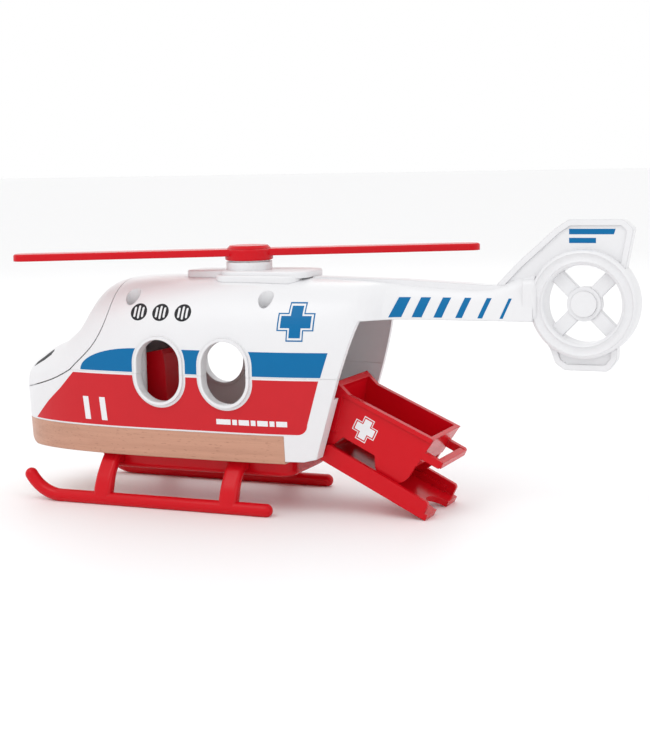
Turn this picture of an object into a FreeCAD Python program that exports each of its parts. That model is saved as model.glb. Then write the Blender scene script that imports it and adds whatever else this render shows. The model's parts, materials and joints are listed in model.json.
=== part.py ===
import FreeCAD, Part
import math
import os

# Toy rescue helicopter, millimetres. +Z is up, the nose points along -X and the left side along -Y.
# The origin lies on the floor under the middle of the length. "Station" means distance back from
# the tip of the nose, so a piece keeps its place in the cabin when the overall length changes.

# Driving dimensions of the cabin
length = 260.6
cabin_width = 60.0
roof_height = 91.4
seam_height = 54.2
sill_height = 31.5
hull_bottom = 20.4
wall = 2.2
nose_length = 75.0
side_lean = 2.6
moving_gap = 0.3

# Canopy: the seam that runs round it, as station and height, and its hinge at the tip of the nose
canopy_lower_seam = [(-3.0, 43.8), (0.0, 43.8), (9.8, 45.6), (24.7, 50.0), (33.8, 54.2)]
canopy_rear_seam = [(33.8, 54.2), (40.3, 59.6), (45.0, 64.0), (48.7, 69.2), (51.2, 75.4), (52.4, 84.0),
                    (52.4, 96.0)]
canopy_hinge_height = 43.8
canopy_hinge_station = 2.0
canopy_knuckle_radius = 2.0
canopy_knuckle_inner = 3.0
canopy_knuckle_outer = 7.0
hinge_pin_radius = 0.8

# Windows: upright slots with rounded ends and a raised rim
window_stations = (76.4, 105.4)
window_height = 55.5
window_width = 21.8
window_tall = 27.5
rim_width = 1.3
rim_proud = 0.6

# Rear opening, its ramp and the sill that carries the ramp's pin
opening_foot = (141.6, 22.6)
opening_head_station = 157.6
boom_depth = 15.6
boom_underside = roof_height - boom_depth
opening_head = (opening_head_station, boom_underside)
ramp_axis_station = 138.4
ramp_axis_height = 25.0
ramp_length = 51.0
ramp_half_width = 17.9
ramp_plate = 2.4
ramp_rail = 4.6
ramp_step = 2.2
ramp_barrel_radius = 2.7
ramp_pin_radius = 1.2
pin_clearance = 0.05

# Wooden hull block
hull_rear_station = 129.1
hull_front_round = 10.0
cabin_pocket_depth = 4.9
cabin_pocket_length = 27.0

# Boom, fin and tail ring
boom_end_station = 222.0
spine_half_width = 3.2
ring_drop = 9.1
ring_centre_height = roof_height - ring_drop
ring_bore_radius = 14.5
ring_outer_radius = 20.2
ring_half_thickness = 5.4
groove_middle = 17.3
groove_radius = 2.0
groove_depth = 0.9
boom_root_half_width = 5.9
arm_width = 5.2
arm_half_thickness = 1.6
tail_hub_radius = 6.4
tail_boss_radius = 4.9
tail_hub_thickness = 4.4
tail_boss_thickness = 6.0
fin_half_thickness = 2.4
fin_panel_depth = 0.7
fin_corner_radius = 1.8
fin_rise = 21.9
fin_top_height = roof_height + fin_rise

# Rotor, its mount on the roof and its axle
mast_station = 103.05
mount_rise = 2.4
mount_top_height = roof_height + mount_rise
mount_front_station = 78.2
mount_deck_station = 93.0
mount_rear_station = 131.8
collar_radius = 9.2
collar_rise = 3.2
collar_top_height = mount_top_height + collar_rise
rotor_hub_radius = 9.7
rotor_hub_thickness = 4.6
rotor_cap_radius = 8.8
rotor_cap_thickness = 1.3
rotor_reach = 93.6
rotor_angle = 27.5
blade_chord = 11.0
blade_thickness = 2.8
axle_radius = 2.0
axle_head_radius = 3.4
axle_head_thickness = 1.2
clip_thickness = 0.8
clip_radius = 5.0
washer_thickness = 0.6

# Landing gear
skid_half_track = 30.1
skid_radius = 2.66
skid_front_station = 29.3
skid_rear_station = 124.8
skid_toe_radius = 17.0
skid_toe_turn = 58.0
skid_flat = 0.25
strut_stations = (49.0, 105.8)
strut_width = 8.0
strut_thickness = 4.4
strut_rounding = 1.8
belly_front_station = 43.4
belly_rear_station = 128.4
belly_half_width = 19.0
belly_bottom = 13.2

# Screws
roof_screw_stations = (61.3, 120.1)
roof_screw_side = 21.0
roof_well_radius = 3.0
well_depth = 16.2
well_floor = roof_height - well_depth
screw_head_radius = 2.7
screw_head_thickness = 1.8
screw_shank_radius = 1.3
roof_screw_shank = 30.0
belly_screw_shank = 12.0
belly_screw_stations = (62.0, 118.0)
belly_screw_side = 9.0

# Stretcher, laid out in the ramp's own frame: distance down the ramp and height above it
stretcher_half_width = 15.4
stretcher_wall = 1.9
stretcher_rim = 0.8

nose_x = -length / 2
half_width = cabin_width / 2
# Top line of the nose, roof and boom, as station and height
top_line = [(0.15, 46.3), (1.2, 49.4), (4.0, 54.0), (8.0, 57.2), (14.0, 60.6), (20.0, 63.4), (24.0, 64.9),
            (29.0, 68.6), (35.0, 74.0), (38.5, 79.6), (42.0, 85.2), (47.0, 89.2), (56.0, 90.9),
            (70.0, 91.4), (105.0, 91.4), (130.0, 91.0), (158.0, 89.9), (200.0, 87.9),
            (207.0, 88.6), (214.0, 91.4), (boom_end_station, 93.2)]
# Half width of the cabin behind its widest part, where it closes in to the boom
rear_plan = [(110.0, half_width), (125.0, half_width - 0.6), (140.0, half_width - 2.5),
             (150.0, half_width - 4.6), (156.0, half_width - 6.6), (160.0, 19.6), (165.0, 13.4),
             (171.0, 9.9), (180.0, 9.0), (205.0, 8.0), (boom_end_station, 7.0)]
nose_tip_height = 44.0
reference_roof = 91.4


def point(station, y, z):
    """A point given by its station instead of by X."""
    return FreeCAD.Vector(nose_x + station, y, z)


def line(a, b):
    """A straight edge."""
    return Part.LineSegment(a, b).toShape()


def spline(points):
    """A smooth edge through the points."""
    curve = Part.BSplineCurve()
    curve.interpolate(points)
    return curve.toShape()


def box(x0, x1, y0, y1, z0, z1):
    """A box between two corners."""
    return Part.makeBox(x1 - x0, y1 - y0, z1 - z0, FreeCAD.Vector(x0, y0, z0))


def cylinder(radius, start, direction, size):
    """A cylinder from a point along a direction."""
    return Part.makeCylinder(radius, size, start, direction)


def across(face, y0, y1):
    """A face drawn in the plane Y = 0, made solid from y0 to y1."""
    placed = face.copy()
    placed.translate(FreeCAD.Vector(0, y0, 0))
    return placed.extrude(FreeCAD.Vector(0, y1 - y0, 0))


def side_face(corners):
    """A face with straight edges in the plane Y = 0, from corners given as station and height."""
    points = [point(station, 0, z) for station, z in corners]
    return Part.Face(Part.makePolygon(points + points[:1]))


def mirrored(shape):
    """The same shape on the other side of the plane Y = 0."""
    return shape.mirror(FreeCAD.Vector(0, 0, 0), FreeCAD.Vector(0, 1, 0))


def join(first, others):
    """One solid from several that overlap, with the split faces merged."""
    return first.fuse(others).removeSplitter()


def save(name, shape):
    """Write one node."""
    shape.exportStep("parts/" + name + ".step")


def smooth_value(table, place):
    """Value at a place on a smooth curve through the table that never overshoots its points."""
    last = len(table) - 1
    if place <= table[0][0]:
        return table[0][1]
    if place >= table[last][0]:
        return table[last][1]
    slopes = [(b[1] - a[1]) / (b[0] - a[0]) for a, b in zip(table, table[1:])]
    tangents = [slopes[0]]
    for before, after in zip(slopes, slopes[1:]):
        agree = before * after > 0
        tangents.append(2 * before * after / (before + after) if agree else 0.0)
    tangents.append(slopes[-1])
    i = max(k for k in range(last) if table[k][0] <= place)
    size = table[i + 1][0] - table[i][0]
    t = (place - table[i][0]) / size
    rise = table[i + 1][1] - table[i][1]
    return (table[i][1] + rise * t * t * (3 - 2 * t)
            + size * t * (1 - t) * (tangents[i] * (1 - t) - tangents[i + 1] * t))


def cabin_half_width(station, inset):
    """Half the width of the cabin at a station, for a skin moved inwards by the inset."""
    if station > rear_plan[0][0]:
        return smooth_value(rear_plan, station) - inset
    wide = half_width - inset
    if station < nose_length:
        reach = (nose_length - station) / (nose_length - inset)
        wide *= (1 - min(reach, 1.0) ** 2.5) ** 0.4
    return wide


def widest_height(station):
    """Height at which a cross-section is widest: the seam, falling to the tip on the nose."""
    share = min(station / 40.0, 1.0)
    return nose_tip_height + (seam_height - nose_tip_height) * share


def arch_wire(x, wide, top, middle, bottom, lean):
    """Closed cross-section: a rounded arch over the height 'middle' and leaning sides below it."""
    points = []
    for i in range(11):
        turn = math.pi * i / 10
        y = wide * math.copysign(abs(math.cos(turn)) ** 0.77, math.cos(turn))
        points.append(FreeCAD.Vector(x, y, middle + (top - middle) * max(math.sin(turn), 0.0) ** 0.77))
    right_foot = FreeCAD.Vector(x, wide - lean, bottom)
    left_foot = FreeCAD.Vector(x, lean - wide, bottom)
    edges = [spline(points), line(points[-1], left_foot), line(left_foot, right_foot),
             line(right_foot, points[0])]
    return Part.Wire(edges)


def skin_stations(inset):
    """Stations of the cross-sections: close together at the nose and where the roof closes in."""
    places = [0.15 + inset]
    step = 0.5
    while places[-1] < boom_end_station - 2.0 * step:
        curved = places[-1] < nose_length or 146.0 < places[-1] < 182.0
        step = min(step * 1.3, 2.6 if curved else 5.0)
        places.append(places[-1] + step)
    return places + [boom_end_station]


def cabin_solid(inset, bottom):
    """The cabin and boom filled in, moved inwards by the inset, down to the given height."""
    lift = roof_height - reference_roof
    wires = []
    for place in skin_stations(inset):
        before = smooth_value(top_line, place - 0.5)
        after = smooth_value(top_line, place + 0.5)
        steep = math.hypot(1.0, after - before)
        height = (before + after) / 2 - inset * min(steep, 2.2) + lift * min(place / nose_length, 1.0)
        wide = cabin_half_width(place, inset)
        middle = min(widest_height(place), height - 2.0)
        lean = side_lean * min(wide / 10.0, 1.0) * (middle - bottom) / (seam_height - hull_bottom)
        wires.append(arch_wire(nose_x + place, wide, height, middle, bottom, lean))
    return Part.makeLoft(wires, True, True)


def rear_seam():
    """The canopy's rear seam from the sill seam up over the roof."""
    return spline([point(s, 0, z) for s, z in canopy_rear_seam])


def lower_seam():
    """The canopy's lower seam from in front of the nose to the sill seam."""
    return spline([point(s, 0, z) for s, z in canopy_lower_seam])


def closed_region(edges, corners):
    """A solid right across the cabin, bounded by edges in the plane Y = 0 and lines through corners."""
    points = [point(s, 0, z) for s, z in corners]
    sides = [line(a, b) for a, b in zip(points, points[1:])]
    wire = Part.Wire(Part.__sortEdges__(edges + sides))
    return across(Part.Face(wire), -cabin_width, cabin_width)


def opening_station(height):
    """Station of the slanted rear opening at a height."""
    slope = (opening_head[0] - opening_foot[0]) / (opening_head[1] - opening_foot[1])
    return opening_foot[0] + slope * (height - opening_foot[1])


def canopy_region():
    """Everything in front of the canopy's seam."""
    top = canopy_rear_seam[-1]
    front = canopy_lower_seam[0]
    return closed_region([lower_seam(), rear_seam()], [top, (front[0], top[1]), front])


def upper_region():
    """Everything above the seam, behind the canopy and in front of the opening, with the boom."""
    top = canopy_rear_seam[-1]
    corners = [top, (boom_end_station, top[1]), (boom_end_station, boom_underside),
               (opening_station(boom_underside), boom_underside),
               (opening_station(seam_height), seam_height), canopy_rear_seam[0]]
    return closed_region([rear_seam()], corners)


def lower_region():
    """Everything between the hull and the seam, under the canopy and in front of the opening."""
    front = canopy_lower_seam[0]
    corners = [canopy_lower_seam[-1], (opening_station(seam_height), seam_height),
               (opening_station(sill_height), sill_height), (front[0], sill_height), front]
    return closed_region([lower_seam()], corners)


def slot_face(station, wide, tall):
    """An upright slot with round ends in the plane Y = 0."""
    radius = wide / 2
    straight = (tall - wide) / 2
    low_left = point(station - radius, 0, window_height - straight)
    high_left = point(station - radius, 0, window_height + straight)
    low_right = point(station + radius, 0, window_height - straight)
    high_right = point(station + radius, 0, window_height + straight)
    top = Part.Arc(high_left, point(station, 0, window_height + tall / 2), high_right).toShape()
    foot = Part.Arc(low_right, point(station, 0, window_height - tall / 2), low_left).toShape()
    return Part.Face(Part.Wire([line(low_left, high_left), top, line(high_right, low_right), foot]))


def window_holes():
    """The clear openings of all windows, right across the cabin."""
    slots = [across(slot_face(s, window_width - 2 * rim_width, window_tall - 2 * rim_width),
                    -cabin_width, cabin_width) for s in window_stations]
    return Part.makeCompound(slots)


def window_frames(z0, z1):
    """The raised rims of all windows between two heights."""
    band = box(-length, length, -cabin_width, cabin_width, z0, z1)
    frames = []
    for station in window_stations:
        face = slot_face(station, window_width, window_tall)
        near = across(face, -half_width - rim_proud, -half_width + wall + 1.6)
        frames.append(near.common(band))
        frames.append(mirrored(near).common(band))
    return frames


def ring_profile_solid(inner, outer, half_thickness, round_radius):
    """A ring about an axis along Y through the tail, with rounded edges."""
    x = ring_x
    z = ring_centre_height
    body = cylinder(outer, FreeCAD.Vector(x, -half_thickness, z), FreeCAD.Vector(0, 1, 0),
                    2 * half_thickness)
    bore = cylinder(inner, FreeCAD.Vector(x, -half_thickness - 1, z), FreeCAD.Vector(0, 1, 0),
                    2 * half_thickness + 2)
    ring = body.cut(bore)
    ring = ring.makeFillet(round_radius, ring.Edges)
    for side in (-1, 1):
        place = FreeCAD.Vector(x, side * (half_thickness + groove_radius - groove_depth), z)
        ring = ring.cut(Part.makeTorus(groove_middle, groove_radius, place, FreeCAD.Vector(0, 1, 0)))
    return ring


def fin_outline():
    """Corners of the fin from its root on the boom over the top to the foot below the ring."""
    x = ring_x
    z = ring_centre_height
    return [(x - 34.0, z + 6.0), (x - 25.3, z + 14.9), (x - 10.7, z + 27.8), (x - 5.8, fin_top_height),
            (x + 14.5, fin_top_height), (x + 18.2, fin_top_height - 3.3), (x + 14.0, z + 6.0),
            (x + 12.4, z - 16.2), (x + 12.2, z - 20.5), (x + 9.1, z - 24.7), (x - 7.2, z - 24.7),
            (x - 10.7, z - 22.2), (x - 12.6, z - 17.0), (x - 19.0, z - 7.0)]


def fin_solid(shrink, half_thickness):
    """The fin plate, made smaller by the shrink."""
    points = [FreeCAD.Vector(x, 0, z) for x, z in fin_outline()]
    wire = Part.makePolygon(points + points[:1])
    if shrink:
        wire = wire.makeOffset2D(-shrink)
    plate = across(Part.Face(wire), -half_thickness, half_thickness)
    corners = [e for e in plate.Edges if e.BoundBox.YLength > half_thickness]
    return plate.makeFillet(fin_corner_radius, corners)


def tail_solid():
    """Fin, tail ring and the fixed four-armed tail rotor, all moulded in one with the boom."""
    centre = FreeCAD.Vector(ring_x, 0, ring_centre_height)
    plate = fin_solid(0.0, fin_half_thickness)
    for side in (-1, 1):
        panel = fin_solid(2.2, fin_panel_depth / 2)
        panel.translate(FreeCAD.Vector(0, side * (fin_half_thickness - fin_panel_depth / 2 + 0.001), 0))
        plate = plate.cut(panel)
    bore = cylinder(ring_bore_radius + 1.0, centre - FreeCAD.Vector(0, 10, 0), FreeCAD.Vector(0, 1, 0), 20)
    ring = ring_profile_solid(ring_bore_radius, ring_outer_radius, ring_half_thickness, 1.9)
    arm = box(-ring_bore_radius - 1.2, ring_bore_radius + 1.2, -arm_half_thickness, arm_half_thickness,
              -arm_width / 2, arm_width / 2)
    arms = []
    for turn in (45, 135):
        one = arm.copy()
        one.rotate(FreeCAD.Vector(0, 0, 0), FreeCAD.Vector(0, 1, 0), turn)
        one.translate(centre)
        arms.append(one)
    hub = cylinder(tail_hub_radius, centre - FreeCAD.Vector(0, tail_hub_thickness / 2, 0),
                   FreeCAD.Vector(0, 1, 0), tail_hub_thickness)
    boss = cylinder(tail_boss_radius, centre - FreeCAD.Vector(0, tail_boss_thickness / 2, 0),
                    FreeCAD.Vector(0, 1, 0), tail_boss_thickness)
    return plate.cut(bore).fuse([ring, hub, boss, boom_root()] + arms)


def boom_root():
    """Rounded block where the boom runs into the tail ring."""
    root = box(nose_x + boom_end_station - 4.0, ring_x - groove_middle + 0.3, -boom_root_half_width,
               boom_root_half_width, boom_underside, ring_centre_height + 9.0)
    long_edges = [e for e in root.Edges if e.BoundBox.XLength > 1.0]
    end_edges = [e for e in root.Edges if e.BoundBox.XMin > ring_x - groove_middle]
    return root.makeFillet(2.2, long_edges + end_edges)


def roof_screw_centres():
    """Where the four upright roof screws stand."""
    return [(nose_x + s, side * roof_screw_side) for s in roof_screw_stations for side in (-1, 1)]


def screw_posts(outside, z0, z1):
    """Bosses for the roof screws between two heights, each with a web to the side of the cabin."""
    posts = []
    for x, y in roof_screw_centres():
        side = math.copysign(1.0, y)
        boss = cylinder(roof_well_radius + 1.2, FreeCAD.Vector(x, y, z0), FreeCAD.Vector(0, 0, 1), z1 - z0)
        web_edge = side * (half_width + 2.0)
        web = box(x - 1.1, x + 1.1, min(y, web_edge), max(y, web_edge), z0, z1)
        posts.append(boss.fuse(web).common(outside))
    return posts


def upper_shell(outside, inside):
    """Roof, upper sides, boom, fin and tail ring, moulded in one."""
    filled = outside.common(upper_region())
    shell = filled.cut(inside)
    ribs = []
    for i in range(4):
        x = nose_x + 175.0 + 9.0 * i
        ribs.append(box(x, x + 1.4, -20, 20, boom_underside + 3.0, roof_height).common(filled))
    spine = across(side_face([(mount_rear_station + 0.4, roof_height - 3.4),
                              (mount_rear_station + 0.4, roof_height), (170.0, roof_height - 0.8),
                              (206.0, roof_height - 2.6), (boom_end_station - 2.0, roof_height - 2.6),
                              (boom_end_station - 2.0, roof_height - 6.0)]),
                   -spine_half_width, spine_half_width)
    extras = [spine.cut(inside), tail_solid()] + ribs
    extras += window_frames(seam_height, roof_height) + screw_posts(outside, seam_height, roof_height)
    shell = shell.fuse(extras)
    wells = []
    for x, y in roof_screw_centres():
        wells.append(cylinder(roof_well_radius, FreeCAD.Vector(x, y, well_floor),
                              FreeCAD.Vector(0, 0, 1), 40.0))
        wells.append(cylinder(screw_shank_radius, FreeCAD.Vector(x, y, seam_height - 1.0),
                              FreeCAD.Vector(0, 0, 1), 40.0))
    wells.append(cylinder(axle_radius + pin_clearance, FreeCAD.Vector(mast_x, 0, seam_height),
                          FreeCAD.Vector(0, 0, 1), 60.0))
    return shell.cut(wells).cut(window_holes())


def lower_shell(outside, inside):
    """Lower sides of the cabin with the bosses for the roof screws and the sill under the ramp's pin."""
    sides = outside.common(lower_region()).cut(inside)
    cheek_face = side_face([(hull_rear_station, 21.4), (opening_foot[0] - 5.0, 21.4),
                            opening_foot, (opening_station(46.0), 46.0), (hull_rear_station, 46.0)])
    sill_end = ramp_axis_station - ramp_barrel_radius - 0.6
    sill_top = sill_height - cabin_pocket_depth
    sill_face = side_face([(hull_rear_station, 21.4), (sill_end, 21.4), (sill_end, sill_top),
                           (hull_rear_station, sill_top)])
    inner_side = ramp_half_width + 0.7
    cheeks = across(cheek_face, inner_side, cabin_width).common(outside)
    sill = across(sill_face, -inner_side - 0.5, inner_side + 0.5)
    parts = [cheeks, mirrored(cheeks), sill] + window_frames(sill_height, seam_height)
    parts += screw_posts(outside, sill_height, seam_height)
    knuckle = canopy_cylinder(canopy_knuckle_radius, -canopy_knuckle_inner, canopy_knuckle_inner)
    body = sides.fuse(parts)
    holes = [cylinder(ramp_pin_radius, ramp_axis_point(-22.5), FreeCAD.Vector(0, 1, 0), 45.0)]
    for x, y in roof_screw_centres():
        holes.append(cylinder(screw_shank_radius, FreeCAD.Vector(x, y, seam_height - 12.0),
                              FreeCAD.Vector(0, 0, 1), 20.0))
    for side in (-1, 1):
        y0 = side * (canopy_knuckle_inner + 0.2)
        y1 = side * (canopy_knuckle_outer + 3.2)
        holes.append(canopy_cylinder(canopy_knuckle_radius + moving_gap, min(y0, y1), max(y0, y1)))
    body = body.cut(Part.makeCompound(holes)).cut(window_holes()).fuse(knuckle)
    return body.cut(canopy_cylinder(hinge_pin_radius, -8.0, 8.0)).removeSplitter()


def canopy_cylinder(radius, y0, y1):
    """A cylinder on the canopy's hinge axis."""
    start = point(canopy_hinge_station, y0, canopy_hinge_height)
    return cylinder(radius, start, FreeCAD.Vector(0, 1, 0), y1 - y0)


def ramp_axis_point(y):
    """A point on the ramp's hinge axis."""
    return point(ramp_axis_station, y, ramp_axis_height)


def canopy(outside, inside):
    """Nose and windscreen cover, with two knuckles on the hinge."""
    region = canopy_region()
    region.translate(FreeCAD.Vector(-moving_gap, 0, moving_gap))
    cover = outside.common(region).cut(inside)
    gap = canopy_knuckle_inner + moving_gap
    knuckles = [canopy_cylinder(canopy_knuckle_radius, gap, canopy_knuckle_outer),
                canopy_cylinder(canopy_knuckle_radius, -canopy_knuckle_outer, -gap)]
    relief = canopy_cylinder(canopy_knuckle_radius + moving_gap, -gap, gap)
    bore = canopy_cylinder(hinge_pin_radius + pin_clearance, -8.0, 8.0)
    return cover.fuse(knuckles).cut(relief).cut(bore).removeSplitter()


def wooden_hull(outside):
    """Solid beech block under the cabin, rounded at the front, with a shallow pocket for the floor."""
    front = hull_front_round
    profile = Part.Wire([line(point(0.4, 0, sill_height), point(0.4, 0, hull_bottom + front)),
                         Part.Arc(point(0.4, 0, hull_bottom + front),
                                  point(0.4 + 0.293 * front, 0, hull_bottom + 0.293 * front),
                                  point(0.4 + front, 0, hull_bottom)).toShape(),
                         line(point(0.4 + front, 0, hull_bottom), point(hull_rear_station, 0, hull_bottom)),
                         line(point(hull_rear_station, 0, hull_bottom),
                              point(hull_rear_station, 0, sill_height)),
                         line(point(hull_rear_station, 0, sill_height), point(0.4, 0, sill_height))])
    block = outside.common(across(Part.Face(profile), -cabin_width, cabin_width))
    pocket = box(nose_x + hull_rear_station - cabin_pocket_length, nose_x + hull_rear_station + 1.0,
                 -ramp_half_width - 1.0, ramp_half_width + 1.0, sill_height - cabin_pocket_depth,
                 sill_height + 1.0)
    holes = []
    for x, y in belly_screw_centres():
        holes.append(cylinder(screw_shank_radius, FreeCAD.Vector(x, y, belly_bottom),
                              FreeCAD.Vector(0, 0, 1), belly_screw_shank + screw_head_thickness + 0.4))
    return block.cut(pocket).cut(holes[0].fuse(holes[1:]))


def belly_screw_centres():
    """Where the four belly screws stand."""
    return [(nose_x + s, side * belly_screw_side) for s in belly_screw_stations for side in (-1, 1)]


def belly_plate():
    """Red moulded plate under the hull that clamps the roots of the skid struts."""
    x0 = nose_x + belly_front_station
    x1 = nose_x + belly_rear_station
    plate = box(x0, x1, -belly_half_width, belly_half_width, belly_bottom, hull_bottom)
    plate = plate.makeFillet(7.0, [e for e in plate.Edges if is_upright(e)])
    plate = plate.makeFillet(2.4, bottom_edges(plate, belly_bottom))
    for station in strut_stations:
        x = nose_x + station
        plate = plate.cut(box(x - strut_width / 2 - 0.1, x + strut_width / 2 + 0.1, -belly_half_width - 1,
                              belly_half_width + 1, hull_bottom - strut_thickness, hull_bottom + 1))
    for x, y in belly_screw_centres():
        plate = plate.cut(cylinder(screw_shank_radius, FreeCAD.Vector(x, y, belly_bottom - 1),
                                   FreeCAD.Vector(0, 0, 1), 12))
        plate = plate.cut(cylinder(screw_head_radius + 0.2, FreeCAD.Vector(x, y, belly_bottom - 1),
                                   FreeCAD.Vector(0, 0, 1), 3.0))
    return plate


def is_upright(edge):
    """True for an edge that runs straight up."""
    a = edge.Vertexes[0].Point
    b = edge.Vertexes[-1].Point
    return abs(a.x - b.x) < 1e-6 and abs(a.y - b.y) < 1e-6


def bottom_edges(shape, z):
    """Edges that lie wholly at one height."""
    return [e for e in shape.Edges if abs(e.BoundBox.ZMin - z) < 1e-6 and abs(e.BoundBox.ZMax - z) < 1e-6]


def screw(x, y, z, size, up):
    """A pan-head screw: head at z, shank of the given size along -up."""
    direction = FreeCAD.Vector(0, 0, -up)
    head = cylinder(screw_head_radius, FreeCAD.Vector(x, y, z), direction, screw_head_thickness)
    head = head.makeFillet(0.7, [e for e in head.Edges if abs(e.BoundBox.ZMin - z) < 1e-6
                                 and abs(e.BoundBox.ZMax - z) < 1e-6])
    shank = cylinder(screw_shank_radius, FreeCAD.Vector(x, y, z - up * screw_head_thickness), direction,
                     size)
    slots = [box(x - 1.5, x + 1.5, y - 0.35, y + 0.35, z - 0.9, z + 0.9),
             box(x - 0.35, x + 0.35, y - 1.5, y + 1.5, z - 0.9, z + 0.9)]
    return head.fuse(shank).cut(slots[0].fuse(slots[1:]))


def skid(side):
    """One skid tube with an upturned toe and its two arched struts, moulded in one."""
    y = side * skid_half_track
    z = skid_radius - skid_flat
    start = point(skid_rear_station - skid_radius, y, z)
    bend = point(skid_front_station, y, z)
    turn = math.radians(skid_toe_turn)
    toe = [point(skid_front_station - skid_toe_radius * math.sin(share * turn), y,
                 z + skid_toe_radius * (1 - math.cos(share * turn))) for share in (0.5, 1.0)]
    path = Part.Wire([line(start, bend), Part.Arc(bend, toe[0], toe[1]).toShape()])
    ring = Part.Wire(Part.makeCircle(skid_radius, start, FreeCAD.Vector(1, 0, 0)))
    tube = path.makePipeShell([ring], True, True)
    pieces = [Part.makeSphere(skid_radius, start), Part.makeSphere(skid_radius, toe[1])]
    pieces += [strut(station, side) for station in strut_stations]
    floor = box(-length, length, y - cabin_width, y + cabin_width, -cabin_width, 0)
    hull = box(-length, length, y - cabin_width, y + cabin_width, hull_bottom, roof_height)
    return tube.fuse(pieces).cut([floor, hull]).removeSplitter()


def strut(station, side):
    """An arched strut from the skid up and inwards to the belly plate."""
    x = station - strut_width / 2
    t = strut_thickness
    y_skid = skid_half_track
    y_root = belly_half_width - 6.0
    z_foot = skid_radius
    z_root = hull_bottom - t
    outer = spline([point(x, side * (y_skid + 2.5), z_foot), point(x, side * (y_skid + 0.9), z_foot + 5.5),
                    point(x, side * (y_skid - 3.0), z_foot + 12.0),
                    point(x, side * (y_root + 9.0), z_root + t)])
    inner = spline([point(x, side * (y_root + 7.0), z_root), point(x, side * (y_root + 10.0), z_root - 2.2),
                    point(x, side * (y_skid - 4.0), z_foot + 5.5), point(x, side * (y_skid - 2.5), z_foot)])
    edges = [outer, line(point(x, side * (y_root + 9.0), z_root + t), point(x, side * y_root, z_root + t)),
             line(point(x, side * y_root, z_root + t), point(x, side * y_root, z_root)),
             line(point(x, side * y_root, z_root), point(x, side * (y_root + 7.0), z_root)), inner,
             line(point(x, side * (y_skid - 2.5), z_foot), point(x, side * (y_skid + 2.5), z_foot))]
    arch = Part.Face(Part.Wire(edges)).extrude(FreeCAD.Vector(strut_width, 0, 0))
    return arch.makeFillet(strut_rounding, [e for e in arch.Edges if e.BoundBox.XLength < 1e-3
                                            and e.BoundBox.ZLength > strut_thickness + 0.5])


def cockpit_seat():
    """Red bench with a tall back that holds the pilot."""
    face = side_face([(54.0, sill_height), (54.0, 38.0), (56.2, 40.0), (57.6, 57.0), (59.5, 60.0),
                      (69.0, 61.8), (70.0, 60.0), (70.6, 54.0), (71.4, sill_height)])
    seat = across(face, -14.0, 14.0)
    hollow = across(side_face([(60.5, sill_height - 1), (60.5, 54.0), (67.6, 56.0),
                               (68.4, sill_height - 1)]), -11.0, 11.0)
    pad = across(side_face([(36.0, sill_height), (36.0, 38.0), (38.0, 40.0), (56.0, 40.0),
                            (56.0, sill_height)]), -14.0, 14.0)
    under = across(side_face([(38.0, sill_height - 1), (38.0, 37.6), (53.0, 37.6),
                              (53.0, sill_height - 1)]), -12.0, 12.0)
    return seat.cut(hollow).fuse(pad.cut(under)).removeSplitter()


def rotor_mount(outside):
    """White bearing block on the roof: a long base, a wider deck and the collar under the hub."""
    low = roof_height - 6.0
    nose_part = rounded_plate(mount_front_station, mast_station, 8.0, 2.5, low, mount_top_height)
    deck = rounded_plate(mount_deck_station, mount_rear_station - 2.4, 13.6, 5.0, low,
                         mount_top_height - 1.6)
    flange = rounded_plate(mount_deck_station + 1.5, mount_rear_station, 12.2, 6.0, mount_top_height - 2.6,
                           mount_top_height)
    collar = cylinder(collar_radius, FreeCAD.Vector(mast_x, 0, low), FreeCAD.Vector(0, 0, 1),
                      collar_top_height - low)
    block = nose_part.fuse([deck, flange, collar]).removeSplitter()
    bore = cylinder(axle_radius + pin_clearance, FreeCAD.Vector(mast_x, 0, low - 1),
                    FreeCAD.Vector(0, 0, 1), 60)
    return block.cut(bore).cut(outside)


def rounded_plate(s0, s1, half, corner, z0, z1):
    """An upright plate with rounded corners and a softened top edge."""
    plate = box(nose_x + s0, nose_x + s1, -half, half, z0, z1)
    plate = plate.makeFillet(corner, [e for e in plate.Edges if is_upright(e)])
    return plate.makeFillet(0.7, bottom_edges(plate, z1))


def rotor():
    """Hub and two blades in one moulding, bored for the axle and recessed for its head."""
    z0 = collar_top_height + washer_thickness
    up = FreeCAD.Vector(0, 0, 1)
    hub = cylinder(rotor_hub_radius, FreeCAD.Vector(mast_x, 0, z0), up, rotor_hub_thickness)
    hub = hub.makeFillet(0.8, bottom_edges(hub, z0 + rotor_hub_thickness) + bottom_edges(hub, z0))
    z = z0 + rotor_hub_thickness - blade_thickness
    blade = box(6.0, rotor_reach, -blade_chord / 2, blade_chord / 2, z, z + blade_thickness)
    tip_edges = [e for e in blade.Edges if is_upright(e) and e.BoundBox.XMin > 10]
    blade = blade.makeFillet(blade_chord / 2 - 0.6, tip_edges)
    blade = blade.makeFillet(0.9, bottom_edges(blade, z + blade_thickness))
    blades = []
    for turn in (0, 180):
        one = blade.copy()
        one.rotate(FreeCAD.Vector(0, 0, 0), up, turn + rotor_angle)
        one.translate(FreeCAD.Vector(mast_x, 0, 0))
        blades.append(one)
    body = join(hub, blades)
    bore = cylinder(axle_radius + pin_clearance, FreeCAD.Vector(mast_x, 0, z0 - 1), up, 20)
    recess = cylinder(axle_head_radius + 0.4, FreeCAD.Vector(mast_x, 0, axle_head_height() - 0.2), up, 20)
    return body.cut(bore.fuse(recess))


def axle_head_height():
    """Height of the underside of the axle's head."""
    return collar_top_height + washer_thickness + rotor_hub_thickness - axle_head_thickness - 0.5


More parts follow.
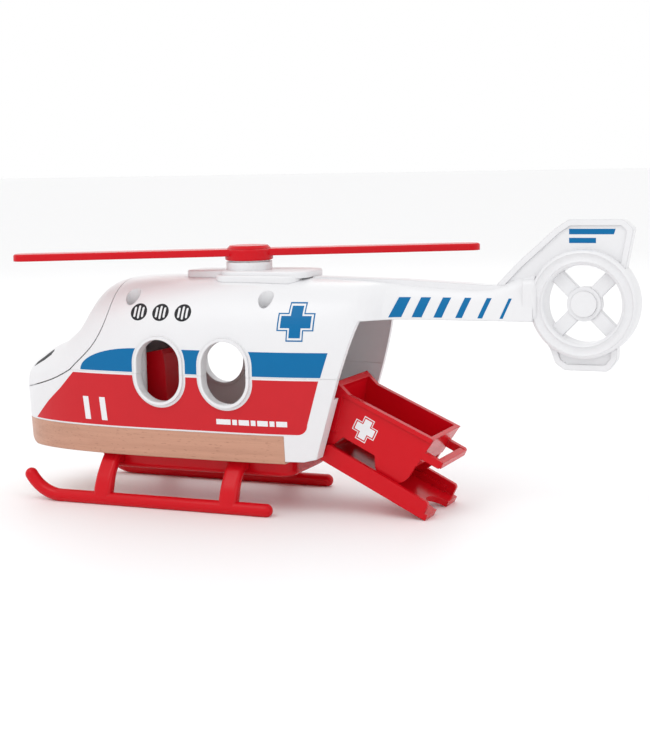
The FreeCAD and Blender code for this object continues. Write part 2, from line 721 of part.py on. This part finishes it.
def rotor_axle():
    """Steel pin with a flat head that holds the rotor down on its mount."""
    foot = roof_height - wall - clip_thickness - 3.0
    up = FreeCAD.Vector(0, 0, 1)
    shank = cylinder(axle_radius, FreeCAD.Vector(mast_x, 0, foot), up, axle_head_height() - foot)
    head = cylinder(axle_head_radius, FreeCAD.Vector(mast_x, 0, axle_head_height()), up, axle_head_thickness)
    return shank.fuse(head)


def disc_on_mast(inner, outer, z, thickness):
    """A flat ring round the mast."""
    up = FreeCAD.Vector(0, 0, 1)
    disc = cylinder(outer, FreeCAD.Vector(mast_x, 0, z), up, thickness)
    return disc.cut(cylinder(inner, FreeCAD.Vector(mast_x, 0, z - 1), up, thickness + 2))


def rotor_cap():
    """Round cap that closes the recess in the hub."""
    z = collar_top_height + washer_thickness + rotor_hub_thickness
    cap = cylinder(rotor_cap_radius, FreeCAD.Vector(mast_x, 0, z), FreeCAD.Vector(0, 0, 1),
                   rotor_cap_thickness)
    return cap.makeChamfer(rotor_cap_thickness - 0.2, bottom_edges(cap, z + rotor_cap_thickness))


def ramp():
    """Loading ramp: a plate with a stepped rail each side, a finger notch and a hinge barrel."""
    half = ramp_half_width
    plate = box(2.0, ramp_length, -half, half, -ramp_plate, 0.0)
    rail_outer = box(2.8, ramp_length - 1.5, half - 2.0, half, -ramp_plate, ramp_rail)
    rail_outer = rail_outer.makeFillet(1.6, [e for e in rail_outer.Edges
                                             if e.BoundBox.ZMin > ramp_rail - 0.01
                                             and e.BoundBox.YLength > 1.0])
    rail_inner = box(5.0, ramp_length - 5.0, half - 3.6, half - 1.0, -ramp_plate, ramp_step)
    rails = [rail_outer, rail_inner, mirrored(rail_outer), mirrored(rail_inner)]
    barrel = cylinder(ramp_barrel_radius, FreeCAD.Vector(0, -half + 0.5, 0), FreeCAD.Vector(0, 1, 0),
                      2 * half - 1.0)
    notch = cylinder(7.0, FreeCAD.Vector(ramp_length, 0, -10), FreeCAD.Vector(0, 0, 1), 20)
    bore = cylinder(ramp_pin_radius + pin_clearance, FreeCAD.Vector(0, -30, 0), FreeCAD.Vector(0, 1, 0), 60)
    body = plate.fuse(rails + [barrel]).cut(notch).cut(bore)
    return on_ramp(body.removeSplitter())


def on_ramp(shape):
    """Carry a shape from the ramp's own frame to its place, sloping down to the floor."""
    placed = shape.copy()
    placed.rotate(FreeCAD.Vector(0, 0, 0), FreeCAD.Vector(0, 1, 0), ramp_slope)
    placed.translate(ramp_axis_point(0))
    return placed


def ramp_point(s, h):
    """A point of the ramp's own frame: distance down the ramp and height above it."""
    return FreeCAD.Vector(s, 0, h)


def straight_run(corners):
    """Straight edges through corners given in the ramp's own frame."""
    points = [ramp_point(s, h) for s, h in corners]
    return [line(a, b) for a, b in zip(points, points[1:])]


def stretcher_side_face():
    """Outline of the stretcher's side: a short front leg, an arch and a broad round rear leg."""
    foot = ramp_step + moving_gap
    rear_leg = Part.Arc(ramp_point(23.8, foot + 2.9), ramp_point(30.5, foot), ramp_point(37.4, foot + 6.4))
    front_leg = Part.Arc(ramp_point(2.2, foot + 0.9), ramp_point(3.2, foot + 0.1),
                         ramp_point(4.4, foot + 1.4))
    edges = straight_run([(4.4, foot + 1.4), (7.2, foot + 6.8), (21.6, foot + 6.8), (23.8, foot + 2.9)])
    edges.append(rear_leg.toShape())
    edges += straight_run([(37.4, foot + 6.4), (38.3, 17.7), (40.1, 26.9), (2.3, 25.6), (-4.6, 27.9),
                           (0.4, 9.0), (2.2, foot + 0.9)])
    edges.append(front_leg.toShape())
    return Part.Face(Part.Wire(edges))


def stretcher():
    """Red tub for a patient: raised head end, rim, rounded legs and arms that form the handle."""
    half = stretcher_half_width
    side = across(stretcher_side_face(), half - stretcher_wall, half)
    floor_line = [(0.4, 9.6), (38.3, 14.0)]
    tub_outer = flat_prism([floor_line[0], floor_line[1], (40.1, 26.9), (2.3, 25.6), (-4.6, 27.9)], half)
    tub_inner = flat_prism([(2.0, 11.6), (36.6, 16.0), (38.2, 26.0), (38.2, 40.0), (-2.9, 40.0),
                            (-2.2, 25.6)], half - stretcher_wall)
    rim = flat_prism([(-4.4, 27.2), (-3.4, 23.8), (3.4, 24.0), (39.6, 25.0), (40.1, 26.9), (2.3, 25.6),
                      (-4.6, 27.9)], half + stretcher_rim)
    cheek = flat_prism([(-4.6, 27.9), (0.2, 9.6), (3.6, 9.6), (-0.4, 26.2)], half + stretcher_rim)
    hollow = box(-20.0, 80.0, stretcher_wall - half, half - stretcher_wall, -20.0, 80.0)
    edging = rim.fuse(cheek).cut(hollow)
    arms = []
    for place in (1, -1):
        arm = box(37.4, 47.0, half - 2.6, half, 17.5, 20.5)
        arm = arm.makeFillet(1.2, [e for e in arm.Edges if e.BoundBox.XLength < 1e-6
                                   and e.BoundBox.XMin > 46.0])
        arms.append(arm if place > 0 else mirrored(arm))
    bar = box(44.4, 47.0, -half + 1.0, half - 1.0, 17.7, 20.3)
    body = tub_outer.cut(tub_inner).fuse([side, mirrored(side), edging, bar] + arms).removeSplitter()
    return on_ramp(body)


def flat_prism(corners, half):
    """A solid across the ramp from corners in the ramp's own frame."""
    return across(Part.Face(Part.Wire(straight_run(corners + corners[:1]))), -half, half)


mast_x = nose_x + mast_station
ring_x = length / 2 - ring_outer_radius
# The ramp's toe rests on the floor, which sets its slope
ramp_slope = math.degrees(math.asin((ramp_axis_height - ramp_plate * 0.9) / ramp_length))

os.makedirs("parts", exist_ok=True)
outside = cabin_solid(0.0, hull_bottom)
inside = cabin_solid(wall, hull_bottom - 1.0)
save("canopy", canopy(outside, inside))
save("lower_shell", lower_shell(outside, inside))
save("upper_shell", upper_shell(outside, inside))
save("wooden_hull", wooden_hull(outside))
save("belly_plate", belly_plate())
save("left_skid", skid(-1))
save("right_skid", skid(1))
save("cockpit_seat", cockpit_seat())
save("rotor_mount", rotor_mount(outside))
save("rotor", rotor())
save("ramp", ramp())
save("stretcher", stretcher())
save("ramp_pin", cylinder(ramp_pin_radius, ramp_axis_point(-22.5), FreeCAD.Vector(0, 1, 0), 45.0))
save("canopy_pin", canopy_cylinder(hinge_pin_radius, -6.8, 6.8))
save("rotor_axle", rotor_axle())
save("rotor_cap", rotor_cap())
save("rotor_washer", disc_on_mast(axle_radius + pin_clearance, collar_radius - 1.5, collar_top_height,
                                  washer_thickness))
save("axle_clip", disc_on_mast(axle_radius, clip_radius, roof_height - wall - clip_thickness - 0.4,
                               clip_thickness))
save("roof_screws", Part.makeCompound([screw(x, y, well_floor + screw_head_thickness, roof_screw_shank, 1)
                                       for x, y in roof_screw_centres()]))
save("belly_screws", Part.makeCompound([screw(x, y, belly_bottom + 0.2, belly_screw_shank, -1)
                                        for x, y in belly_screw_centres()]))
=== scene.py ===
import json
import math

import bmesh
import bpy
from mathutils import Matrix, Vector
from mathutils.geometry import delaunay_2d_cdt


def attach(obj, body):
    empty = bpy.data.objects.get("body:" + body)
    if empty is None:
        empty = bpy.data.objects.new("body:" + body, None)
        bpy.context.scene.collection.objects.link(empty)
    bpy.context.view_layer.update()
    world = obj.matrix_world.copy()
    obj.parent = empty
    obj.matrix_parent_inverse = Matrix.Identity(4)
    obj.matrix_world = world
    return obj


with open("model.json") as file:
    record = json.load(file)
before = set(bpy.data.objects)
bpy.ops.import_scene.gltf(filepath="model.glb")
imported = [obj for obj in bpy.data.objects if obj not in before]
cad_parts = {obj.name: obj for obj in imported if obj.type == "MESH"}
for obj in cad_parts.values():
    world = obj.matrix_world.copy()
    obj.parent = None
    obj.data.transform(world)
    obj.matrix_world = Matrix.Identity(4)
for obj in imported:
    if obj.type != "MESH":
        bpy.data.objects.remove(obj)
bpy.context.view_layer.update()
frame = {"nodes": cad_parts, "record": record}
MM = 0.001

# The camera stands off the left front of the helicopter, a little above its roof, and looks back
# along the boom. Its tilt is the small roll of a hand-held view.
camera_place = Vector((249.4, -565.05, 137.7)) * MM
turn, rise, roll = math.radians(23.4), math.radians(7.93), math.radians(-1.2)
ahead = Vector((-math.sin(turn) * math.cos(rise), math.cos(turn) * math.cos(rise), -math.sin(rise)))
level = Vector((math.cos(turn), math.sin(turn), 0))
upright = level.cross(ahead)
right = level * math.cos(roll) + upright * math.sin(roll)
above = upright * math.cos(roll) - level * math.sin(roll)
camera_data = bpy.data.cameras.new("camera")
camera_data.sensor_width = 36.0
camera_data.lens = 74.97
camera_data.clip_start = 0.01
camera = bpy.data.objects.new("camera", camera_data)
camera_turn = Matrix((right, above, -ahead)).transposed().to_4x4()
camera.matrix_world = Matrix.Translation(camera_place) @ camera_turn
bpy.context.scene.collection.objects.link(camera)
bpy.context.scene.camera = camera


# Studio: a pale table that runs out of sight, a white room round it and three soft lights. Only the
# stage is here; nothing in it belongs to the helicopter.
def new_object(name, mesh, material):
    """Puts a finished mesh in the scene with its material."""
    mesh.materials.clear()
    mesh.materials.append(material)
    made = bpy.data.objects.new(name, mesh)
    bpy.context.scene.collection.objects.link(made)
    return made


class Signal:
    """A socket in a material's nodes that can be used in sums like a number."""

    def __init__(self, tree, socket):
        self.tree = tree
        self.socket = socket

    def node(self, kind, settings=None, sockets=None, output=0):
        """Adds a node of any kind: first its settings, then the values or links of its sockets."""
        made = self.tree.nodes.new(kind)
        for name, value in (settings or {}).items():
            setattr(made, name, value)
        for name, value in (sockets or {}).items():
            if isinstance(value, Signal):
                self.tree.links.new(value.socket, made.inputs[name])
            else:
                made.inputs[name].default_value = value
        return Signal(self.tree, made.outputs[output])

    def maths(self, operation, *values, clamp=False):
        """One Math node."""
        return self.node("ShaderNodeMath", {"operation": operation, "use_clamp": clamp},
                         dict(enumerate(values)))

    def __add__(self, other):
        return self.maths("ADD", self, other)

    __radd__ = __add__

    def __mul__(self, other):
        return self.maths("MULTIPLY", self, other)

    __rmul__ = __mul__

    def __sub__(self, other):
        return self.maths("SUBTRACT", self, other)

    def __rsub__(self, other):
        return self.maths("SUBTRACT", other, self)

    def above(self, level, width):
        """0 below a level and 1 above it, over a soft width."""
        return self.maths("MULTIPLY_ADD", self, 1 / width, 0.5 - level / width, clamp=True)

    def colours(self, low, high):
        """A colour between two, mixed by this value."""
        return self.node("ShaderNodeMix", {"data_type": "RGBA"}, {0: self, 6: (*low, 1), 7: (*high, 1)}, 2)

    def stretched(self, scale):
        """A vector with its three parts scaled, such as a place along the grain."""
        return self.node("ShaderNodeMapping", None, {"Vector": self, "Scale": scale})

    def noise(self, scale, detail=2.0, roughness=0.5):
        """Soft random cloud from 0 to 1 at this place."""
        return self.node("ShaderNodeTexNoise", {"noise_dimensions": "3D"},
                         {"Vector": self, "Scale": scale, "Detail": detail, "Roughness": roughness})


def start_material(name):
    """A new material, its shader node and the place on the surface in the helicopter's own frame."""
    material = bpy.data.materials.new(name)
    material.use_nodes = True
    tree = material.node_tree
    shader = tree.nodes["Principled BSDF"]
    place = Signal(tree, tree.nodes.new("ShaderNodeTexCoord").outputs["Object"])
    return material, shader, place


def connect(shader, **signals):
    """Links signals to the shader's sockets: base_color goes to Base Color, and so on."""
    for name, signal in signals.items():
        signal.tree.links.new(signal.socket, shader.inputs[name.replace("_", " ").title()])


table_material, table_shader, table_place = start_material("white_table")
table_grain = table_place.noise(900.0)
connect(table_shader, base_color=table_grain.colours((0.93, 0.93, 0.935), (0.95, 0.95, 0.955)),
        roughness=table_grain * 0.1 + 0.5)
table_mesh = bpy.data.meshes.new("table")
reach = 12.0
table_mesh.from_pydata([(-reach, -reach, 0), (reach, -reach, 0), (reach, reach, 0), (-reach, reach, 0)], [],
                       [(0, 1, 2, 3)])
table = new_object("table", table_mesh, table_material)

world = bpy.data.worlds.new("white_room")
bpy.context.scene.world = world
world.use_nodes = True
room = world.node_tree.nodes["Background"]
room.inputs["Color"].default_value = (1.0, 1.0, 1.0, 1)
room.inputs["Strength"].default_value = 1.0
bpy.context.scene.view_settings.view_transform = "Standard"


def soft_light(name, place, target, size, power):
    """A square soft box that faces a point."""
    lamp = bpy.data.lights.new(name, "AREA")
    lamp.size = size
    lamp.energy = power
    box = bpy.data.objects.new(name, lamp)
    box.location = place
    box.rotation_euler = (Vector(target) - Vector(place)).to_track_quat("-Z", "Y").to_euler()
    bpy.context.scene.collection.objects.link(box)


soft_light("key_light", (-0.35, -0.75, 1.1), (0, 0, 0.06), 0.7, 3.0)
soft_light("side_light", (1.0, -0.6, 0.6), (0, 0, 0.06), 0.5, 0.8)
soft_light("back_light", (-0.4, 0.9, 0.8), (0, 0, 0.06), 0.6, 1.2)


# Shells, canopy and rotor mount: white ABS mouldings with a satin gloss. The moulds leave a faint
# ripple and soft edges, and handling leaves the gloss a little uneven.
def moulded_plastic(name, colour, gloss, edge, sheen):
    """Injection-moulded plastic: even colour, a faint ripple, soft edges and slightly uneven gloss."""
    material, shader, place = start_material(name)
    drift = place.noise(35.0, 3.0)
    speck = place.noise(2600.0, 1.0)
    shade = drift * 0.7 + speck * 0.3
    darker = tuple(0.93 * part for part in colour)
    smudge = place.noise(90.0, 5.0, 0.62).above(0.56, 0.25)
    rounded = place.node("ShaderNodeBevel", {"samples": 4}, {"Radius": edge})
    ripple = place.noise(420.0, 2.0) + speck * 0.12
    bump = place.node("ShaderNodeBump", None,
                      {"Strength": 0.05, "Distance": 0.0004, "Height": ripple, "Normal": rounded})
    connect(shader, base_color=shade.colours(darker, colour), roughness=smudge * 0.07 + gloss, normal=bump)
    shader.inputs["Specular IOR Level"].default_value = sheen
    return material


def finish_part(part, material):
    """Gives a CAD part its material."""
    piece = frame["nodes"][part]
    piece.data.materials.clear()
    piece.data.materials.append(material)


white_plastic = moulded_plastic("white_plastic", (0.79, 0.79, 0.805), 0.3, 0.5 * MM, 0.45)
for part in ("upper_shell", "lower_shell", "canopy", "rotor_mount"):
    finish_part(part, white_plastic)

# Rotor, skids, belly plate, seat, ramp and stretcher: bright red mouldings, glossier than the
# white ones.
red_plastic = moulded_plastic("red_plastic", (0.6, 0.003, 0.01), 0.2, 0.45 * MM, 0.2)
for part in ("rotor", "rotor_cap", "left_skid", "right_skid", "belly_plate", "cockpit_seat", "ramp",
             "stretcher"):
    finish_part(part, red_plastic)


# Hull: one block of steamed beech, grain along the helicopter, sanded and clear-lacquered. Beech
# shows short dark rays along the grain and weak, wavy growth rings.
def beech_material():
    """Lacquered beech with its grain along X."""
    material, shader, place = start_material("beech")
    bend = place.stretched((9.0, 60.0, 60.0)).noise(1.0, 2.0)
    rings = (place.stretched((5.0, 260.0, 520.0)).noise(1.0, 3.0) + bend * 0.35).above(0.66, 0.5)
    fibre = place.stretched((90.0, 2400.0, 2400.0)).noise(1.0, 3.0, 0.6)
    rays = place.stretched((420.0, 2600.0, 2600.0)).noise(1.0, 1.0).above(0.68, 0.08)
    tone = (rings * 0.6 + fibre * 0.4).colours((0.42, 0.2, 0.125), (0.6, 0.315, 0.21))
    wood = place.node("ShaderNodeMix", {"data_type": "RGBA", "blend_type": "MULTIPLY"},
                      {0: rays * 0.5, 6: tone, 7: (0.55, 0.42, 0.36, 1)}, 2)
    rounded = place.node("ShaderNodeBevel", {"samples": 4}, {"Radius": 0.7 * MM})
    bump = place.node("ShaderNodeBump", None, {"Strength": 0.12, "Distance": 0.0003,
                                               "Height": fibre - rays * 0.6, "Normal": rounded})
    connect(shader, base_color=wood, roughness=fibre * 0.15 + 0.34 + rays * 0.1, normal=bump)
    shader.inputs["Coat Weight"].default_value = 0.25
    shader.inputs["Coat Roughness"].default_value = 0.22
    return material


finish_part("wooden_hull", beech_material())


# Screws, pins, axle, clip and washer: zinc-plated steel, bright but slightly cloudy.
def zinc_material():
    """Bright zinc plating with fine turning marks."""
    material, shader, place = start_material("zinc_plate")
    marks = place.stretched((300.0, 300.0, 5000.0)).noise(1.0, 3.0)
    cloud = place.noise(500.0, 3.0)
    bump = place.node("ShaderNodeBump", None, {"Strength": 0.1, "Distance": 0.0001, "Height": marks})
    connect(shader, base_color=cloud.colours((0.5, 0.51, 0.53), (0.66, 0.66, 0.67)),
            roughness=marks * 0.2 + 0.26, normal=bump)
    shader.inputs["Metallic"].default_value = 1.0
    return material


zinc = zinc_material()
for part in ("roof_screws", "belly_screws", "rotor_axle", "axle_clip", "rotor_washer", "ramp_pin",
             "canopy_pin"):
    finish_part(part, zinc)


# Printing: every marking is a thin film of ink, pad-printed on the finished shells, but the dark films in
# the nose slits are painted shade. A film starts as a flat outline beside the helicopter and is laid across
# onto the surface it meets.
def ink_material(name, colour, gloss):
    """Ink with a dense, very finely grained surface."""
    material, shader, place = start_material(name)
    grain = place.noise(3200.0, 2.0)
    cover = place.noise(140.0, 3.0)
    darker = tuple(0.88 * part for part in colour)
    bump = place.node("ShaderNodeBump", None, {"Strength": 0.06, "Distance": 0.0001, "Height": grain})
    connect(shader, base_color=(grain * 0.5 + cover * 0.5).colours(darker, colour),
            roughness=cover * 0.08 + gloss, normal=bump)
    shader.inputs["Specular IOR Level"].default_value = 0.15
    return material


def film_tree():
    """Nodes that lay a flat outline on a shell and give it the thickness of the ink."""
    tree = bpy.data.node_groups.new("lay_film", "GeometryNodeTree")
    for name, kind in (("Outline", "NodeSocketGeometry"), ("Shell", "NodeSocketObject"),
                       ("Across", "NodeSocketVector"), ("Sink", "NodeSocketFloat"),
                       ("Thickness", "NodeSocketFloat"), ("Ink", "NodeSocketMaterial")):
        tree.interface.new_socket(name, in_out="INPUT", socket_type=kind)
    tree.interface.new_socket("Film", in_out="OUTPUT", socket_type="NodeSocketGeometry")

    def add(kind, **settings):
        made = tree.nodes.new(kind)
        for name, value in settings.items():
            setattr(made, name, value)
        return made

    def link(source, output, target, socket):
        tree.links.new(source.outputs[output], target.inputs[socket])

    given = add("NodeGroupInput")
    result = add("NodeGroupOutput")
    shell = add("GeometryNodeObjectInfo")
    ray = add("GeometryNodeRaycast")
    sunk = add("ShaderNodeVectorMath", operation="SCALE")
    seat = add("ShaderNodeVectorMath", operation="SUBTRACT")
    place = add("GeometryNodeSetPosition")
    raised = add("GeometryNodeExtrudeMesh", mode="FACES")
    raised.inputs["Individual"].default_value = False
    under = add("GeometryNodeFlipFaces")
    both = add("GeometryNodeJoinGeometry")
    closed = add("GeometryNodeMergeByDistance")
    closed.inputs["Distance"].default_value = 0.002 * MM
    real = add("GeometryNodeRealizeInstances")
    inked = add("GeometryNodeSetMaterial")
    link(given, "Shell", shell, "Object")
    link(shell, "Geometry", ray, "Target Geometry")
    link(given, "Across", ray, "Ray Direction")
    link(ray, "Hit Normal", sunk, 0)
    link(given, "Sink", sunk, "Scale")
    link(ray, "Hit Position", seat, 0)
    link(sunk, 0, seat, 1)
    link(given, "Outline", place, "Geometry")
    link(seat, 0, place, "Position")
    link(place, "Geometry", raised, "Mesh")
    link(given, "Thickness", raised, "Offset Scale")
    link(place, "Geometry", under, "Mesh")
    link(raised, "Mesh", both, "Geometry")
    link(under, "Mesh", both, "Geometry")
    link(both, "Geometry", closed, "Geometry")
    link(closed, "Geometry", real, "Geometry")
    link(real, "Geometry", inked, "Geometry")
    link(given, "Ink", inked, "Material")
    link(inked, "Geometry", result, "Film")
    return tree


def within(spot, loop):
    """True for a spot inside a closed loop."""
    odd = False
    for a, b in zip(loop, loop[1:] + loop[:1]):
        if (a[1] > spot[1]) != (b[1] > spot[1]):
            odd ^= spot[0] < a[0] + (spot[1] - a[1]) * (b[0] - a[0]) / (b[1] - a[1])
    return odd


start_distance = 80.0


def flat_outline(loops, holes, side, step):
    """A finely divided flat mesh beside the helicopter: inside the loops and outside the holes."""
    spots = []
    edges = []
    for loop in loops + holes:
        first = len(spots)
        dense = []
        for a, b in zip(loop, loop[1:] + loop[:1]):
            count = max(1, round(math.dist(a, b) / step))
            dense += [(a[0] + (b[0] - a[0]) * k / count, a[1] + (b[1] - a[1]) * k / count)
                      for k in range(count)]
        spots += dense
        edges += [(first + k, first + (k + 1) % len(dense)) for k in range(len(dense))]
    low = [min(s[k] for s in spots) for k in (0, 1)]
    high = [max(s[k] for s in spots) for k in (0, 1)]
    for column in range(1, int((high[0] - low[0]) / step) + 1):
        for row in range(1, int((high[1] - low[1]) / step) + 1):
            spots.append((low[0] + (column + 0.37) * step, low[1] + (row + 0.41) * step))
    vectors, _, faces, *_ = delaunay_2d_cdt([Vector(s) for s in spots], edges, [], 0, 1e-5)
    kept = []
    for face in faces:
        centre = sum((vectors[k] for k in face), Vector((0, 0))) / 3
        printed = sum(within(centre, loop) for loop in loops) % 2 == 1
        if printed and not any(within(centre, hole) for hole in holes):
            kept.append(list(face) if side < 0 else list(reversed(face)))
    mesh = bpy.data.meshes.new("outline")
    away = side * start_distance
    mesh.from_pydata([(v.x * MM, away * MM, v.y * MM) for v in vectors], [], kept)
    cleaned = bmesh.new()
    cleaned.from_mesh(mesh)
    bmesh.ops.delete(cleaned, geom=[v for v in cleaned.verts if not v.link_faces], context="VERTS")
    cleaned.to_mesh(mesh)
    cleaned.free()
    return mesh


lay_film = film_tree()
film_inputs = {item.name: item.identifier for item in lay_film.interface.items_tree
               if item.in_out == "INPUT"}
body_of = {member: body for body, members in frame["record"]["behaviour"]["bodies"].items()
           for member in members}
film_sink = 0.03 * MM
film_thickness = 0.09 * MM


def print_on(name, part, ink, loops, holes=(), side=-1, step=2.0):
    """One printed film on a CAD part. Loops and holes are (X, Z) in millimetres."""
    film = new_object(name, flat_outline(list(loops), list(holes), side, step), ink)
    modifier = film.modifiers.new("lay", "NODES")
    modifier.node_group = lay_film
    modifier[film_inputs["Shell"]] = frame["nodes"][part]
    modifier[film_inputs["Across"]] = (0.0, -float(side), 0.0)
    modifier[film_inputs["Sink"]] = film_sink
    modifier[film_inputs["Thickness"]] = film_thickness
    modifier[film_inputs["Ink"]] = ink
    graph = bpy.context.evaluated_depsgraph_get()
    laid = bpy.data.meshes.new_from_object(film.evaluated_get(graph), depsgraph=graph)
    film.modifiers.remove(modifier)
    film.data = laid
    for face in laid.polygons:
        face.use_smooth = False
    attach(film, body_of[part])
    return film


def bow(centre, radii, start, end, count):
    """Points on part of an ellipse, angles in degrees."""
    turns = [math.radians(start + (end - start) * k / count) for k in range(count + 1)]
    return [(centre[0] + radii[0] * math.cos(t), centre[1] + radii[1] * math.sin(t)) for t in turns]


def slot_loop(centre, width, height):
    """An upright slot with round ends."""
    radius = width / 2
    straight = height / 2 - radius
    return (bow((centre[0], centre[1] + straight), (radius, radius), 0, 180, 24)
            + bow((centre[0], centre[1] - straight), (radius, radius), 180, 360, 24))


def both_sides(name, part, ink, loops, holes=(), step=2.0):
    """The same print on the left and the right side."""
    for side, word in ((-1, "left"), (1, "right")):
        print_on(f"{word}_{name}", part, ink, loops, holes, side, step)


red_ink = ink_material("red_ink", (0.6, 0.02, 0.028), 0.3)
blue_ink = ink_material("blue_ink", (0.002, 0.15, 0.37), 0.3)
# Black prints the round vents and also serves as painted shade in the nose slits.
black_ink_and_painted_shade = ink_material("black_ink_and_painted_shade", (0.022, 0.022, 0.026), 0.34)
white_ink = ink_material("white_ink", (0.84, 0.85, 0.87), 0.32)

# The red field and the blue band stop a little short of the seam, the windows and the rear edge,
# so that a white line is left all round them.
window_xs = (-53.9, -24.9)
window_middle = 55.5
window_gap_width = 23.9
window_gap_height = 29.6
window_gaps = [slot_loop((x, window_middle), window_gap_width, window_gap_height) for x in window_xs]
opening_foot_x = 11.3
opening_foot_height = 22.6
opening_lean = 0.3008


def rear_edge(height, short):
    """X of a line in front of the slanted rear opening."""
    return opening_foot_x + opening_lean * (height - opening_foot_height) - short


red_bottom = 32.2
red_top = 53.4
red_short = 7.0
corner_radius = 4.0
corner_height = red_bottom + corner_radius
corner = bow((rear_edge(corner_height, red_short) - corner_radius, corner_height),
             (corner_radius, corner_radius), -90, 0, 8)
red_field = [(-119.6, red_bottom), (-116.4, 34.9), (-110.5, 40.2), (-102.8, 46.2), (-95.0, red_top)]
red_field = red_field[::-1] + corner + [(rear_edge(red_top, red_short), red_top)]
both_sides("red_field", "lower_shell", red_ink, [red_field], window_gaps)
band_top = 64.2
band_bottom = 54.7
band_short = 6.6
blue_band = (bow((-64.0, band_bottom), (27.0, band_top - band_bottom), 180, 90, 14)
             + [(rear_edge(band_top, band_short), band_top),
                (rear_edge(band_bottom, band_short), band_bottom)])
both_sides("blue_band", "upper_shell", blue_ink, [blue_band], window_gaps)

# Two slanted bars stand near the nose and a row of short dashes near the tail.
slant = -0.6
bar_width = 2.7
bar_foot = 34.2
bar_top = 43.7
bars = [[(x, bar_foot), (x + bar_width, bar_foot), (x + bar_width + slant, bar_top), (x + slant, bar_top)]
        for x in (-90.2, -82.0)]
dash_foot = 35.2
dash_top = 37.3
dash_gap = 0.75
dashes = []
dash_start = -29.4
for size in (6.2, 2.0, 4.4, 2.0, 4.4, 2.0, 4.4):
    dashes.append([(dash_start, dash_foot), (dash_start + size, dash_foot), (dash_start + size, dash_top),
                   (dash_start, dash_top)])
    dash_start += size + dash_gap
second_film_lift = 0.07 * MM


def lifted(name, part, ink, loops):
    """A second film that lies on the first one, on both sides."""
    for side, word in ((-1, "left"), (1, "right")):
        film = print_on(f"{word}_{name}", part, ink, loops, (), side)
        for corner_point in film.data.vertices:
            corner_point.co.y += side * second_film_lift


lifted("bars", "lower_shell", white_ink, bars)
lifted("dashes", "lower_shell", white_ink, dashes)

# Three round air vents: black discs with three upright slots left white.
vent_height = 78.3
vent_slot_width = 0.95
for number, x in enumerate((-64.1, -54.3, -44.3), 1):
    disc = bow((x, vent_height), (3.65, 3.25), 0, 352.5, 47)
    slots = [slot_loop((x + shift, vent_height), vent_slot_width, height)
             for shift, height in ((-1.75, 3.9), (0, 5.0), (1.75, 3.9))]
    both_sides(f"vent_{number}", "upper_shell", black_ink_and_painted_shade, [disc, *slots], (), 0.8)


# Rescue sign: a plain upright cross with a thin line round it, blue on the shell and white on the
# stretcher.
def cross_loop(centre, reach, half, tilt=0.0):
    """A plus shape as a loop of twelve corners."""
    quarter = [(reach, -half), (reach, half), (half, half)]
    points = []
    for k in range(4):
        t = math.radians(90.0 * k + tilt)
        points += [(centre[0] + x * math.cos(t) - z * math.sin(t),
                    centre[1] + x * math.sin(t) + z * math.cos(t)) for x, z in quarter]
    return points


def sign_loops(centre, size, tilt=0.0):
    """Cross, gap and outline."""
    return [cross_loop(centre, size, size * 0.46, tilt), cross_loop(centre, size * 0.93, size * 0.4, tilt),
            cross_loop(centre, size * 0.82, size * 0.31, tilt)]


both_sides("rescue_sign", "upper_shell", blue_ink, sign_loops((4.1, 75.7), 7.3), (), 1.2)
both_sides("stretcher_sign", "stretcher", white_ink, sign_loops((27.8, 33.6), 4.9, -27.0), (), 1.2)

# Six slanted stripes on the boom grow thinner towards the tail, and two plain bars mark the fin.
stripe_foot = 76.7
stripe_top = 84.2
stripe_lean = 3.2
stripes = []
for k in range(6):
    x = 36.2 + 8.6 * k
    width = 4.6 - 0.68 * k
    stripes.append([(x, stripe_foot), (x + width, stripe_foot), (x + width + stripe_lean, stripe_top),
                    (x + stripe_lean, stripe_top)])
both_sides("boom_stripes", "upper_shell", blue_ink, stripes, (), 1.5)
fin_bars = [[(104.4, 107.9), (121.0, 107.9), (121.6, 109.9), (104.4, 109.9)],
            [(104.4, 104.7), (114.4, 104.7), (114.4, 106.6), (104.4, 106.6)]]
both_sides("fin_bars", "upper_shell", blue_ink, fin_bars)

# On each side of the nose a narrow air slit lies in shade; a thin dark film on the canopy paints that
# shade.
slit = [(-121.3, 53.3), (-119.2, 55.3), (-115.2, 57.6), (-110.8, 60.8), (-109.8, 60.4), (-110.2, 58.9),
        (-113.8, 56.6), (-119.1, 54.2)]
both_sides("nose_slit", "canopy", black_ink_and_painted_shade, [slit], (), 0.8)
